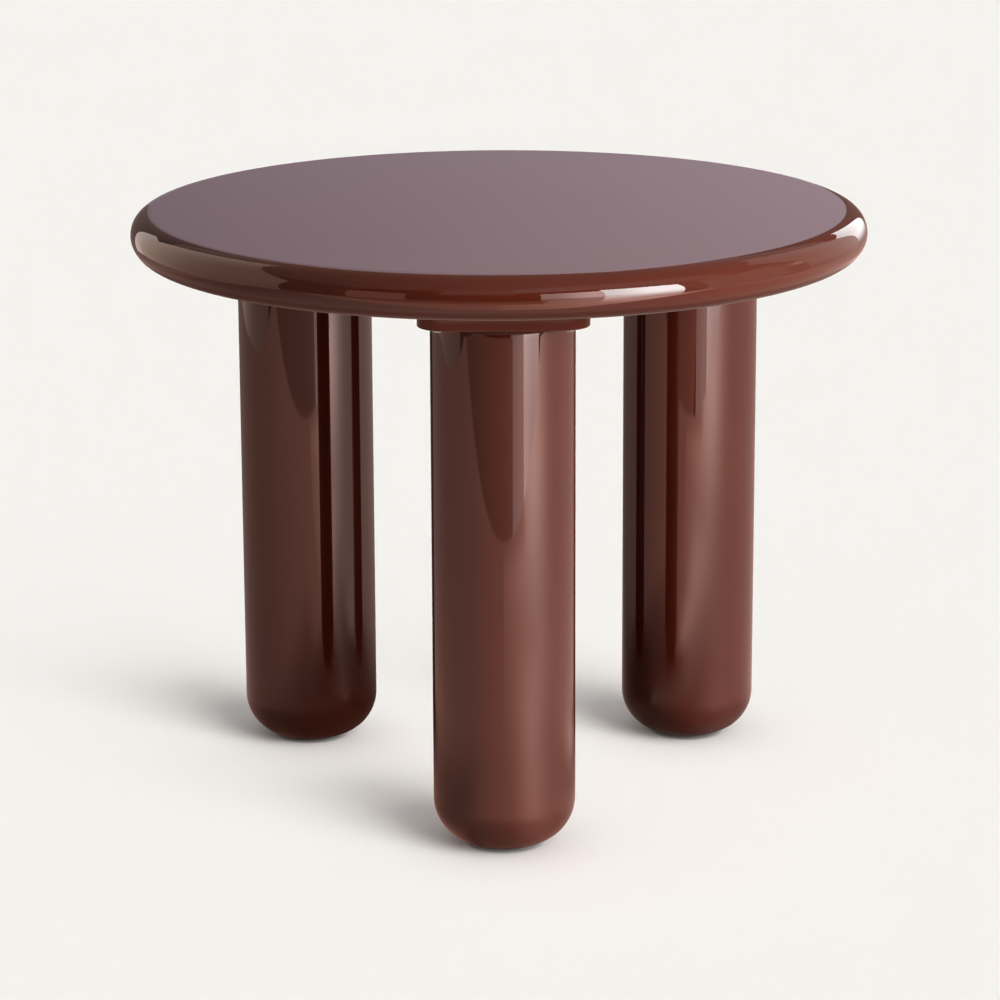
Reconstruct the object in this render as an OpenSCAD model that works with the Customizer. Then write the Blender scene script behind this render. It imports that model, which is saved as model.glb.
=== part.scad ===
// Round lacquered side table: a bullnosed top on three thick round legs, each with its own mounting
// plate. Origin on the floor under the middle of the top, +Z up, front leg towards -Y.

/* [Table] */
// Height from the floor to the top face
table_h = 400; // [340:5:480]
// Diameter of the tabletop
top_d = 500; // [440:5:620]
// Thickness of the tabletop, whose edge is rounded to a half circle
top_t = 30; // [26:1:38]

/* [Legs] */
// Diameter of each leg
leg_d = 94; // [84:1:106]
// Distance from the tabletop's edge in to the outer side of each leg
leg_inset = 46; // [30:1:60]
// Wall of the tube that each leg is built on
leg_wall = 9; // [6:0.5:12]
// Rounding of the tube's upper outside edge
leg_ease = 1.5; // [0.5:0.5:3]
// Height of the block glued into the top of the tube
head_block_h = 50; // [46:1:70]

/* [Feet] */
// Height of the turned foot below the tube
foot_h = 42; // [38:1:60]
// Radius of the foot's rounded lower edge
foot_round = 30; // [20:1:32]
// Height of the spigot that the foot holds in the tube
spigot_h = 30; // [20:1:45]
// Rounding at the spigot's upper edge
spigot_ease = 2; // [1:0.5:4]
// Width of the foot's flat ring around the glide
glide_rim = 3; // [2:0.5:5]
// Thickness of the glide
glide_t = 4; // [3:0.5:6]
// Depth of the glide's seat in the foot
glide_seat = 2; // [1:0.5:2.5]
// Rounding of the glide's lower edge
glide_ease = 1; // [0.5:0.25:1.5]

/* [Mounting plates] */
// How far the plate stands out past the leg on each side
plate_overhang = 8; // [7:1:16]
// Thickness of the plate
plate_t = 12; // [10:1:18]
// Radius of the plate's corners, seen from above
plate_corner = 18; // [10:1:24]
// Rounding of the plate's lower edge
plate_ease = 1; // [0.5:0.25:2]
// Distance from the plate's sides in to the corner bolts
bolt_edge = 13; // [11:0.5:14]
// Diameter of the circle that the plate screws lie on
screw_circle = 44; // [36:1:54]

/* [Corner bolts and inserts] */
// Diameter of the bolt's thread
bolt_d = 6; // [5:0.5:7]
// Length of thread that reaches into the insert
bolt_bite = 13; // [9:0.5:14]
// Diameter of the bolt's domed head
bolt_head_d = 10.5; // [9.5:0.1:12]
// Height of the bolt's domed head
bolt_head_h = 3.3; // [2.8:0.1:4]
// Width across the flats of the key socket
bolt_key = 4; // [3:0.5:4]
// Depth of the key socket
bolt_key_depth = 1.9; // [1.5:0.1:2.2]
// Outside diameter of the threaded insert
insert_d = 10; // [9:0.5:12]
// Length of the threaded insert
insert_h = 15; // [15:0.5:18]
// Width and depth of the driver slot across the insert's mouth
insert_slot = 1.6; // [1:0.1:2]

/* [Wood screws] */
// Diameter of the plate screw's thread
screw_d = 5; // [4:0.5:6]
// Depth that the plate screw reaches into the head block
screw_bite = 38; // [28:1:42]
// Diameter of the glide screw's thread
glide_screw_d = 4; // [3:0.5:4.5]
// Depth that the glide screw reaches into the foot
glide_screw_bite = 18; // [12:1:30]
// Head diameter of both wood screws, as a multiple of the thread
screw_head_ratio = 2; // [1.8:0.1:2.1]

/* [Fits] */
// Glue gap around the blocks in the tube
glue_gap = 0.15; // [0.1:0.05:0.3]
// Gap between a thread and its hole
thread_gap = 0.1; // [0.05:0.05:0.2]
// Gap around the bolt where it passes the plate
bolt_gap = 0.3; // [0.2:0.05:0.5]
// Gap around the glide in its seat
glide_gap = 0.2; // [0.1:0.05:0.4]
// Depth of a wood screw's head below the face around it
head_sink = 0.3; // [0.1:0.1:0.5]

/* [Hidden] */
$fn = 96;

// Colours as they show: oxblood gloss lacquer, raw board inside, bright metal, dark glides
lacquer = [0.40, 0.19, 0.16];
raw_board = [0.72, 0.60, 0.45];
zinc = [0.78, 0.79, 0.80];
yellow_zinc = [0.80, 0.70, 0.42];
dark_nylon = [0.10, 0.08, 0.08];

// Directions of the three legs around the table's axis, in degrees
front_angle = 0;
right_angle = 120;
left_angle = 240;
leg_angles = [front_angle, right_angle, left_angle];

// Radii and places that follow from the sizes above
leg_r = leg_d / 2;
tube_bore_d = leg_d - 2 * leg_wall;
block_d = tube_bore_d - 2 * glue_gap;
leg_place = top_d / 2 - leg_inset - leg_r;
glide_d = 2 * (leg_r - foot_round - glide_rim);
plate_w = leg_d + 2 * plate_overhang;
bolt_place = plate_w / 2 - bolt_edge;
screw_place = screw_circle / 2 * cos(45);

// Heights above the floor
foot_z = glide_t - glide_seat;
tube_z = foot_z + foot_h;
under_z = table_h - top_t;
plate_z = under_z - plate_t;
tube_h = plate_z - tube_z;

// Fasteners
bolt_length = plate_t + bolt_bite;
bolt_tip = 0.8;
bolt_end_room = 2;
insert_ease = 0.5;
screw_length = plate_t + screw_bite - head_sink;
glide_screw_length = glide_t + glide_screw_bite - head_sink;
screw_end_room = 1;
// Cross recess in a wood screw's head: its width and its arms' thickness, as shares of the head
recess_width_share = 0.5;
recess_arm_share = 0.1;
// How far a cutting shape runs past the face that it opens
cut = 1;

// Moves a piece that is built on the leg's own axis out to the leg
module on_leg(angle) {
    rotate([0, 0, angle]) translate([0, -leg_place, 0]) children();
}

// Repeats a piece at the corners of a square around the leg's axis
module at_corners(place) {
    for (x = [-place, place], y = [-place, place]) translate([x, y, 0]) children();
}

// Half section of a disc whose upper edge is rounded
module eased_section(r, h, ease) {
    square([r, h - ease]);
    square([r - ease, h]);
    translate([r - ease, h - ease]) circle(r = ease);
}

// Half section of a disc whose lower edge is rounded, however large the rounding is
module footed_section(r, h, rounding) {
    translate([0, rounding]) square([r, h - rounding]);
    square([r - rounding, h]);
    intersection() {
        translate([r - rounding, rounding]) circle(r = rounding);
        square([r, rounding]);
    }
}

// Wood screw with a flat head, its head's face at z = 0 and its point downwards
module wood_screw(d, length, head_d) {
    head_h = (head_d - d) / 2;
    point_h = d;
    point_d = d / 4;
    recess = [head_d * recess_width_share, head_d * recess_arm_share];
    difference() {
        union() {
            translate([0, 0, -head_h]) cylinder(d1 = d, d2 = head_d, h = head_h);
            translate([0, 0, point_h - length]) cylinder(d = d, h = length - point_h);
            translate([0, 0, -length]) cylinder(d1 = point_d, d2 = d, h = point_h);
        }
        for (turn = [0, 90]) rotate([0, 0, turn])
            translate([-recess.x / 2, -recess.y / 2, -head_h]) cube([recess.x, recess.y, head_h + cut]);
    }
}

// Hole for the same screw: its thread, its flat head and the sunk space above the head
module screw_hole(d, length, head_d) {
    hole_d = d + 2 * thread_gap;
    sink_d = head_d + 2 * thread_gap;
    sink_h = (sink_d - hole_d) / 2;
    translate([0, 0, -length - screw_end_room]) cylinder(d = hole_d, h = length + screw_end_room);
    translate([0, 0, -sink_h]) cylinder(d1 = hole_d, d2 = sink_d, h = sink_h);
    cylinder(d = sink_d, h = head_sink + cut);
}

module plate_screw_hole() {
    translate([0, 0, under_z - head_sink]) screw_hole(screw_d, screw_length, screw_d * screw_head_ratio);
}

module glide_screw_hole() {
    translate([0, 0, head_sink]) mirror([0, 0, 1])
        screw_hole(glide_screw_d, glide_screw_length, glide_screw_d * screw_head_ratio);
}

// Top: a disc with a half-round edge and a blind hole for each insert underneath
module tabletop() {
    color(lacquer)
    difference() {
        translate([0, 0, under_z]) rotate_extrude() {
            square([top_d / 2 - top_t / 2, top_t]);
            translate([top_d / 2 - top_t / 2, top_t / 2]) circle(d = top_t);
        }
        for (angle = leg_angles) on_leg(angle) at_corners(bolt_place)
            translate([0, 0, under_z - cut])
                cylinder(d = insert_d + 2 * thread_gap, h = insert_h + bolt_end_room + cut);
    }
}

module leg_tube() {
    color(lacquer)
    translate([0, 0, tube_z]) difference() {
        rotate_extrude() eased_section(leg_r, tube_h, leg_ease);
        translate([0, 0, -cut]) cylinder(d = tube_bore_d, h = tube_h + 2 * cut);
    }
}

// Block glued into the tube's top end, which takes the plate's screws
module head_block() {
    color(raw_board)
    difference() {
        translate([0, 0, plate_z - head_block_h]) cylinder(d = block_d, h = head_block_h);
        at_corners(screw_place) plate_screw_hole();
    }
}

// Turned foot with a rounded lower edge, a spigot in the tube and a seat for the glide
module foot() {
    color(lacquer)
    difference() {
        translate([0, 0, foot_z]) rotate_extrude() {
            footed_section(leg_r, foot_h, foot_round);
            translate([0, foot_h]) eased_section(block_d / 2, spigot_h, spigot_ease);
        }
        translate([0, 0, foot_z - cut]) cylinder(d = glide_d + 2 * glide_gap, h = glide_seat + cut);
        glide_screw_hole();
    }
}

module glide() {
    color(dark_nylon)
    difference() {
        rotate_extrude() footed_section(glide_d / 2, glide_t, glide_ease);
        glide_screw_hole();
    }
}

module glide_screw() {
    color(yellow_zinc)
    translate([0, 0, head_sink]) mirror([0, 0, 1])
        wood_screw(glide_screw_d, glide_screw_length, glide_screw_d * screw_head_ratio);
}

// Square plate on the leg's end, screwed down into the head block and bolted up to the top
module mounting_plate() {
    color(lacquer)
    difference() {
        translate([0, 0, plate_z]) plate_body();
        at_corners(bolt_place) translate([0, 0, plate_z - cut])
            cylinder(d = bolt_d + 2 * bolt_gap, h = plate_t + 2 * cut);
        at_corners(screw_place) plate_screw_hole();
    }
}

// Rounded square with a rounded lower edge: corner discs joined by two crossed bars
module plate_body() {
    corner_place = plate_w / 2 - plate_corner;
    at_corners(corner_place) rotate_extrude() footed_section(plate_corner, plate_t, plate_ease);
    for (turn = [0, 90]) rotate([0, 0, turn]) plate_bar(2 * corner_place);
}

// Bar across the plate's whole width, with both lower edges rounded
module plate_bar(length) {
    translate([-length / 2, 0, 0]) rotate([90, 0, 90]) linear_extrude(length) {
        footed_section(plate_w / 2, plate_t, plate_ease);
        mirror([1, 0]) footed_section(plate_w / 2, plate_t, plate_ease);
    }
}

module plate_screws() {
    color(yellow_zinc)
    at_corners(screw_place) translate([0, 0, under_z - head_sink])
        wood_screw(screw_d, screw_length, screw_d * screw_head_ratio);
}

// Bolt from below, with a domed head under the plate and its thread in the insert
module corner_bolts() {
    color(zinc)
    at_corners(bolt_place) translate([0, 0, plate_z]) difference() {
        union() {
            bolt_dome();
            cylinder(d = bolt_d, h = bolt_length - bolt_tip);
            translate([0, 0, bolt_length - bolt_tip])
                cylinder(d1 = bolt_d, d2 = bolt_d - 2 * bolt_tip, h = bolt_tip);
        }
        translate([0, 0, -bolt_head_h - cut])
            cylinder(d = bolt_key / cos(30), h = bolt_key_depth + cut, $fn = 6);
    }
}

// Head below z = 0: the cap of a ball through the head's rim and its lowest point
module bolt_dome() {
    rim_r = bolt_head_d / 2;
    ball_r = (rim_r ^ 2 + bolt_head_h ^ 2) / (2 * bolt_head_h);
    rotate_extrude() intersection() {
        translate([0, ball_r - bolt_head_h]) circle(r = ball_r);
        translate([0, -bolt_head_h]) square([rim_r, bolt_head_h]);
    }
}

// Insert pressed into the top's underside, threaded inside, with a driver slot at its mouth
module threaded_inserts() {
    color(zinc)
    at_corners(bolt_place) translate([0, 0, under_z]) difference() {
        rotate_extrude() eased_section(insert_d / 2, insert_h, insert_ease);
        translate([0, 0, -cut]) cylinder(d = bolt_d + 2 * thread_gap, h = insert_h + 2 * cut);
        translate([-insert_d, -insert_slot / 2, -cut]) cube([2 * insert_d, insert_slot, insert_slot + cut]);
    }
}

tabletop();
on_leg(front_angle) leg_tube();  // front_leg_tube
on_leg(right_angle) leg_tube();  // right_leg_tube
on_leg(left_angle) leg_tube();  // left_leg_tube
on_leg(front_angle) head_block();  // front_head_block
on_leg(right_angle) head_block();  // right_head_block
on_leg(left_angle) head_block();  // left_head_block
on_leg(front_angle) foot();  // front_foot
on_leg(right_angle) foot();  // right_foot
on_leg(left_angle) foot();  // left_foot
on_leg(front_angle) glide();  // front_glide
on_leg(right_angle) glide();  // right_glide
on_leg(left_angle) glide();  // left_glide
on_leg(front_angle) glide_screw();  // front_glide_screw
on_leg(right_angle) glide_screw();  // right_glide_screw
on_leg(left_angle) glide_screw();  // left_glide_screw
on_leg(front_angle) mounting_plate();  // front_mounting_plate
on_leg(right_angle) mounting_plate();  // right_mounting_plate
on_leg(left_angle) mounting_plate();  // left_mounting_plate
on_leg(front_angle) plate_screws();  // front_plate_screws
on_leg(right_angle) plate_screws();  // right_plate_screws
on_leg(left_angle) plate_screws();  // left_plate_screws
on_leg(front_angle) corner_bolts();  // front_corner_bolts
on_leg(right_angle) corner_bolts();  // right_corner_bolts
on_leg(left_angle) corner_bolts();  // left_corner_bolts
on_leg(front_angle) threaded_inserts();  // front_threaded_inserts
on_leg(right_angle) threaded_inserts();  // right_threaded_inserts
on_leg(left_angle) threaded_inserts();  // left_threaded_inserts
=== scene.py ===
import math

import bmesh
import bpy
import numpy as np
from mathutils import Matrix, Vector


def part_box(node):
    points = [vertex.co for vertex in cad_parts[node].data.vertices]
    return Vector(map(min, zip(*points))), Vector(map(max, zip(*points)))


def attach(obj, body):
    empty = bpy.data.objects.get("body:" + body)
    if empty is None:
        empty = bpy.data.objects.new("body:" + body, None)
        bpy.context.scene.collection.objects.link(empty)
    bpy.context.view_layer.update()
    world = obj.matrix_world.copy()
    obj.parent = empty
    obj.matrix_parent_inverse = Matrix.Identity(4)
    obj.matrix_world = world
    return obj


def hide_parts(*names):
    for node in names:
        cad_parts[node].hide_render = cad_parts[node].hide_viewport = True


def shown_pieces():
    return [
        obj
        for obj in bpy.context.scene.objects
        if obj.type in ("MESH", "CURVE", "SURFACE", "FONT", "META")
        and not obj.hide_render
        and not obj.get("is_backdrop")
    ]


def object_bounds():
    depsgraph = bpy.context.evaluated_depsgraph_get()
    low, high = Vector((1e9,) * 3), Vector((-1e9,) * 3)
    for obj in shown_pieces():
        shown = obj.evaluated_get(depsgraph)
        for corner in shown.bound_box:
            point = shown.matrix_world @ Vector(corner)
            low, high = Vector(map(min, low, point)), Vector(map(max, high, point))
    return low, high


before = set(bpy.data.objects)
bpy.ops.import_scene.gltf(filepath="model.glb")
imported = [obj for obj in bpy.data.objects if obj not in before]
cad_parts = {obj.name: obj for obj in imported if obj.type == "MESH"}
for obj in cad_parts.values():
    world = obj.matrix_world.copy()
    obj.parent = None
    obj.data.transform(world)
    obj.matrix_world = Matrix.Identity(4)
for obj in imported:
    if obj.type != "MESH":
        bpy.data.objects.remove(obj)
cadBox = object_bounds()
print("frame loaded:", len(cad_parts), "nodes")

mm = 0.001
turn = 2 * math.pi
overcut = 1            # mm by which a cutter passes a face

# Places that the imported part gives, in millimetres
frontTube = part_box("front_leg_tube")
heights = {
    "floorClearance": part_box("front_foot")[0].z / mm,
    "tubeFoot": frontTube[0].z / mm,
    "tubeTop": frontTube[1].z / mm,
    "underTop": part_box("tabletop")[0].z / mm,
    "topFace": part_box("tabletop")[1].z / mm,
}
legPlace = -(frontTube[0].y + frontTube[1].y) / 2 / mm   # from the table's axis to a leg's
legTurns = {"front": 0, "right": 120, "left": 240}       # degrees round the table, seen from above


# Meshes

# A skin of rings: each row of the grid is one ring round the axis, and each point of it has its own
# radius and height, so a point is (radius cos angle, radius sin angle, height)
def ringSkin(radius, height, angle, closed=False):
    radius, height, angle = np.broadcast_arrays(radius, height, angle)
    points = np.stack([radius * np.cos(angle), radius * np.sin(angle), height], -1)
    return gridSkin(points, closed)


# Quads between the rows and columns of a grid of points; the columns always close into a ring
def gridSkin(points, closed=False):
    rows, columns = points.shape[:2]
    i = np.arange(rows if closed else rows - 1)[:, None]
    j = np.arange(columns)[None, :]
    below, above = i * columns, (i + 1) % rows * columns
    after = (j + 1) % columns
    quads = np.stack([below + j, below + after, above + after, above + j], -1).reshape(-1, 4)
    return points.reshape(-1, 3), quads


# Angles of a ring with that many points
def ringAngles(steps):
    return np.arange(steps)[None, :] * turn / steps


# Points of an arc from one angle to another, in degrees: centre + radius (cos, sin)
def arc(centre, radius, start, end, steps):
    a = np.radians(np.linspace(start, end, steps + 1))
    return np.stack([centre[0] + radius * np.cos(a), centre[1] + radius * np.sin(a)], -1)


# Puts a skin, given in millimetres, into a mesh. Rings of no radius close to one point, faces get the
# material of their row, and edges sharper than the crease angle stay sharp
def makeMesh(name, skin, rowMaterials=None, crease=32):
    points, quads = skin
    mesh = bpy.data.meshes.new(name)
    mesh.from_pydata((points * mm).tolist(), [], quads.tolist())
    if rowMaterials is not None:
        perRow = len(quads) // len(rowMaterials)
        mesh.polygons.foreach_set("material_index", np.repeat(np.asarray(rowMaterials, np.int32), perRow))
    work = bmesh.new()
    work.from_mesh(mesh)
    bmesh.ops.remove_doubles(work, verts=work.verts, dist=0.002 * mm)
    work.to_mesh(mesh)
    work.free()
    smooth(mesh, crease)
    return mesh


# Smooth shading, but for edges whose faces differ by more than the crease angle
def smooth(mesh, crease):
    mesh.polygons.foreach_set("use_smooth", np.ones(len(mesh.polygons), bool))
    mesh.set_sharp_from_angle(angle=math.radians(crease))
    mesh.update()


# Several skins as one, with the rows' materials one after another
def joinSkins(skins):
    points, quads, count = [], [], 0
    for somePoints, someQuads in skins:
        points.append(somePoints)
        quads.append(someQuads + count)
        count += len(somePoints)
    return np.concatenate(points), np.concatenate(quads)


# Adds one offset to every point
def moveSkin(skin, x=0, y=0, z=0):
    return skin[0] + np.array([x, y, z]), skin[1]


# Skin of a drilled hole, closed at both ends
def drill(radius, low, high):
    hole = np.array([(0, low), (radius, low), (radius, high), (0, high)])
    return ringSkin(hole[:, :1], hole[:, 1:], ringAngles(32))


# The corners of a square round the leg's axis
def corners(place):
    return [(x, y) for x in (-place, place) for y in (-place, place)]


# Cuts the cutter's skin out of a mesh. What the cut opens gets the last of the materials
def cutOut(mesh, cutter, materialCount, crease=32):
    body = bpy.data.objects.new("cutBody", mesh)
    tool = bpy.data.objects.new("cutTool", makeMesh("cutTool", cutter))
    fillers = [bpy.data.materials.new("cut%d" % index) for index in range(materialCount)]
    for piece in (body, tool):
        bpy.context.scene.collection.objects.link(piece)
        for filler in fillers:
            piece.data.materials.append(filler)
    opened = np.full(len(tool.data.polygons), materialCount - 1, np.int32)
    tool.data.polygons.foreach_set("material_index", opened)
    cut = body.modifiers.new("cut", "BOOLEAN")
    cut.operation, cut.solver, cut.object = "DIFFERENCE", "EXACT", tool
    cut.material_mode = "INDEX"
    bpy.context.view_layer.update()
    result = bpy.data.meshes.new_from_object(body.evaluated_get(bpy.context.evaluated_depsgraph_get()))
    for piece in (body, tool):
        bpy.data.objects.remove(piece)
    result.materials.clear()
    for filler in fillers:
        bpy.data.materials.remove(filler)
    smooth(result, crease)
    return result


# Materials

# sRGB hex to the linear colour that shaders work in
def linear(code):
    parts = [int(code[k:k + 2], 16) / 255 for k in (1, 3, 5)]
    return tuple(p / 12.92 if p <= 0.04045 else ((p + 0.055) / 1.055) ** 2.4 for p in parts) + (1.0,)


# Adds a node. Settings are its properties or the values of its sockets, and links say which output
# feeds a socket; a socket goes by its name or its number
def addNode(tree, kind, settings=None, links=None):
    node = tree.nodes.new(kind)
    for key, value in (settings or {}).items():
        if isinstance(key, int) or key in node.inputs:
            node.inputs[key].default_value = value
        else:
            setattr(node, key, value)
    for key, (source, output) in (links or {}).items():
        tree.links.new(source.outputs[output], node.inputs[key])
    return node


# A material with an empty node tree
def newMaterial(name):
    material = bpy.data.materials.new(name)
    material.use_nodes = True
    material.node_tree.nodes.clear()
    return material, material.node_tree


# How often a pattern repeats per metre, as a texture's scale, for a spacing in millimetres
def perMetre(spacing):
    return 1 / (spacing * mm)


# Colour that follows a pattern through stops, each a position and its colour
def rampBetween(tree, source, output, stops):
    ramp = addNode(tree, "ShaderNodeValToRGB", links={"Fac": (source, output)})
    elements = ramp.color_ramp.elements
    while len(elements) < len(stops):
        elements.new(0.5)
    for element, (position, colour) in zip(elements, stops):
        element.position, element.color = position, colour
    return ramp


# Polyester lacquer on MDF: an oxblood base coat under a clear coat that is flatted and buffed to a
# mirror, with a trace of orange peel that makes straight lines tremble. The clear coat wets the base
# coat, so the base has no gloss of its own
lacquer = {
    "colour": "#6E2B19",
    "colourDeep": "#682717",
    "clearRoughness": 0.03,
    "peelSpacing": 7,        # mm between the waves of the orange peel
    "peelDepth": 0.0011,     # mm
    "fillSpacing": 60,       # mm, slow waves of the board below
    "fillDepth": 0.004,      # mm
}


# The base coat's colour drifts slowly between two tones, and both waves tilt the clear coat alone
def oxbloodLacquer():
    material, tree = newMaterial("oxbloodPolyesterLacquer")
    place = addNode(tree, "ShaderNodeTexCoord")
    cloud = addNode(tree, "ShaderNodeTexNoise", {"Scale": perMetre(90), "Detail": 3.0},
                    {"Vector": (place, "Object")})
    colour = rampBetween(tree, cloud, "Fac",
                         [(0.35, linear(lacquer["colourDeep"])), (0.65, linear(lacquer["colour"]))])
    peel = addNode(tree, "ShaderNodeTexNoise", {"Scale": perMetre(lacquer["peelSpacing"]), "Detail": 1.0},
                   {"Vector": (place, "Object")})
    fill = addNode(tree, "ShaderNodeTexNoise", {"Scale": perMetre(lacquer["fillSpacing"]), "Detail": 0.0},
                   {"Vector": (place, "Object")})
    fillBump = addNode(tree, "ShaderNodeBump", {"Strength": 1.0, "Distance": lacquer["fillDepth"] * mm},
                       {"Height": (fill, "Fac")})
    peelBump = addNode(tree, "ShaderNodeBump", {"Strength": 1.0, "Distance": lacquer["peelDepth"] * mm},
                       {"Height": (peel, "Fac"), "Normal": (fillBump, "Normal")})
    shader = addNode(tree, "ShaderNodeBsdfPrincipled",
                     {"IOR": 1.5, "Specular IOR Level": 0.0, "Roughness": 0.5,
                      "Coat Weight": 1.0, "Coat Roughness": lacquer["clearRoughness"], "Coat IOR": 1.5},
                     {"Base Color": (colour, "Color"), "Coat Normal": (peelBump, "Normal")})
    addNode(tree, "ShaderNodeOutputMaterial", links={"Surface": (shader, "BSDF")})
    return material


# Raw MDF, cut and drilled: pale brown felted fibre, quite matt
def rawFibreboard():
    material, tree = newMaterial("rawMdf")
    place = addNode(tree, "ShaderNodeTexCoord")
    fibre = addNode(tree, "ShaderNodeTexNoise", {"Scale": perMetre(1.2), "Detail": 6.0, "Roughness": 0.7},
                    {"Vector": (place, "Object")})
    colour = rampBetween(tree, fibre, "Fac",
                         [(0.3, linear("#9C7A55")), (0.55, linear("#B5946C")), (0.75, linear("#C9AC85"))])
    bump = addNode(tree, "ShaderNodeBump", {"Strength": 0.6, "Distance": 0.15 * mm},
                   {"Height": (fibre, "Fac")})
    shader = addNode(tree, "ShaderNodeBsdfPrincipled", {"Roughness": 0.85, "IOR": 1.45},
                     {"Base Color": (colour, "Color"), "Normal": (bump, "Normal")})
    addNode(tree, "ShaderNodeOutputMaterial", links={"Surface": (shader, "BSDF")})
    return material


# Zinc-plated steel: bright bluish silver, slightly clouded, with a satin sheen
def zincSteel(name, low, middle, high):
    material, tree = newMaterial(name)
    place = addNode(tree, "ShaderNodeTexCoord")
    cloud = addNode(tree, "ShaderNodeTexNoise", {"Scale": perMetre(4), "Detail": 4.0},
                    {"Vector": (place, "Object")})
    colour = rampBetween(tree, cloud, "Fac", [(0.3, linear(low)), (0.5, linear(middle)), (0.7, linear(high))])
    grain = addNode(tree, "ShaderNodeTexNoise", {"Scale": perMetre(0.4), "Detail": 3.0},
                    {"Vector": (place, "Object")})
    rough = addNode(tree, "ShaderNodeMapRange",
                    {"From Min": 0.3, "From Max": 0.7, "To Min": 0.16, "To Max": 0.32},
                    {"Value": (grain, "Fac")})
    bump = addNode(tree, "ShaderNodeBump", {"Strength": 0.3, "Distance": 0.01 * mm},
                   {"Height": (grain, "Fac")})
    shader = addNode(tree, "ShaderNodeBsdfPrincipled", {"Metallic": 1.0},
                     {"Base Color": (colour, "Color"), "Roughness": (rough, "Result"),
                      "Normal": (bump, "Normal")})
    addNode(tree, "ShaderNodeOutputMaterial", links={"Surface": (shader, "BSDF")})
    return material


# Moulded nylon, near black brown: fine spark-eroded texture and a dull sheen
def mouldedNylon():
    material, tree = newMaterial("mouldedNylon")
    place = addNode(tree, "ShaderNodeTexCoord")
    grain = addNode(tree, "ShaderNodeTexNoise", {"Scale": perMetre(0.5), "Detail": 3.0},
                    {"Vector": (place, "Object")})
    colour = rampBetween(tree, grain, "Fac", [(0.3, linear("#1A1412")), (0.7, linear("#241C19"))])
    bump = addNode(tree, "ShaderNodeBump", {"Strength": 0.5, "Distance": 0.03 * mm},
                   {"Height": (grain, "Fac")})
    shader = addNode(tree, "ShaderNodeBsdfPrincipled", {"Roughness": 0.5, "IOR": 1.53},
                     {"Base Color": (colour, "Color"), "Normal": (bump, "Normal")})
    addNode(tree, "ShaderNodeOutputMaterial", links={"Surface": (shader, "BSDF")})
    return material


lacquerFinish = oxbloodLacquer()
boardFinish = rawFibreboard()
boltFinish = zincSteel("brightZincSteel", "#B4B8BC", "#C8CBCE", "#D8DADC")
screwFinish = zincSteel("yellowZincSteel", "#B99A56", "#C9AE66", "#C4A07A")
nylonFinish = mouldedNylon()
print("materials made")


# A finished piece: it rides on the one body and stands for its CAD node
def finishPiece(name, mesh, finishes, node):
    for finish in finishes:
        mesh.materials.append(finish)
    piece = bpy.data.objects.new(name, mesh)
    bpy.context.scene.collection.objects.link(piece)
    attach(piece, "root")
    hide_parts(node)
    return piece


# The same piece on each leg: its mesh, made round the leg's own axis, is turned and moved out
def finishOnLegs(name, mesh, finishes, node):
    for leg, degrees in legTurns.items():
        place = Matrix.Rotation(math.radians(degrees), 4, "Z") @ Matrix.Translation((0, -legPlace * mm, 0))
        copy = mesh.copy()
        copy.transform(place)
        finishPiece(leg + name, copy, finishes, leg + "_" + node)


# Tabletop: a disc whose edge is a half circle, with blind holes for the inserts below
top = {
    "diameter": (cadBox[1].x - cadBox[0].x) / mm,
    "edgeSteps": 72,
    "ringSteps": 480,
    "support": 0.6,       # mm from the half circle to a ring that keeps the faces flat
    "lowerRings": [0.5],  # further rings of the flat faces, as shares of their radius
    "upperRings": [0.66, 0.33],
    "boltPlace": 42,      # mm from the leg's axis to the bolts, along both sides of the plate
    "insertHole": 10.2,
    "insertHoleDepth": 17,
}


# A disc's section: along the axis below, out to the edge, half a circle up, and back to the axis
def makeTop():
    low, high = heights["underTop"], heights["topFace"]
    edge = (high - low) / 2
    flat = top["diameter"] / 2 - edge
    inner = flat - top["support"]
    below = [(0, low)] + [(flat * share, low) for share in top["lowerRings"]] + [(inner, low)]
    above = [(inner, high)] + [(flat * share, high) for share in top["upperRings"]] + [(0, high)]
    rim = arc((flat, low + edge), edge, -90, 90, top["edgeSteps"])
    profile = np.concatenate([below, rim, above])
    mesh = makeMesh("topBoard", ringSkin(profile[:, :1], profile[:, 1:], ringAngles(top["ringSteps"])))
    holes = []
    for degrees in legTurns.values():
        a = math.radians(degrees)
        for x, y in corners(top["boltPlace"]):
            y -= legPlace
            skin = drill(top["insertHole"] / 2, low - overcut, low + top["insertHoleDepth"])
            turnedX, turnedY = x * math.cos(a) - y * math.sin(a), x * math.sin(a) + y * math.cos(a)
            holes.append(moveSkin(skin, turnedX, turnedY))
    mesh = cutOut(mesh, joinSkins(holes), 2)
    finishPiece("topBoard", mesh, [lacquerFinish, boardFinish], "tabletop")


makeTop()
print("tabletop made")


# Leg tube: wall of board, lacquered outside, with a small rounding at the top
tube = {"diameter": 94, "wall": 9, "ease": 1.5, "easeSteps": 8, "ringSteps": 288,
        "support": 5}   # mm from each end to a ring that keeps the wall straight


# A wall's section, walked round once: up the outside, over the rounding, across, down the bore and back
def makeTubes():
    low, high = heights["tubeFoot"], heights["tubeTop"]
    outer, bore = tube["diameter"] / 2, tube["diameter"] / 2 - tube["wall"]
    ease, support = tube["ease"], tube["support"]
    wall = [(outer, low), (outer, low + support), (outer, high - ease - support)]
    rounding = arc((outer - ease, high - ease), ease, 0, 90, tube["easeSteps"])
    outside = np.concatenate([wall, rounding])
    inside = np.array([(bore, high), (bore, low)])
    profile = np.concatenate([outside, inside])
    rowMaterials = [0] * len(outside) + [1, 1]
    skin = ringSkin(profile[:, :1], profile[:, 1:], ringAngles(tube["ringSteps"]), closed=True)
    mesh = makeMesh("legTube", skin, rowMaterials)
    finishOnLegs("LegTube", mesh, [lacquerFinish, boardFinish], "leg_tube")


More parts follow.
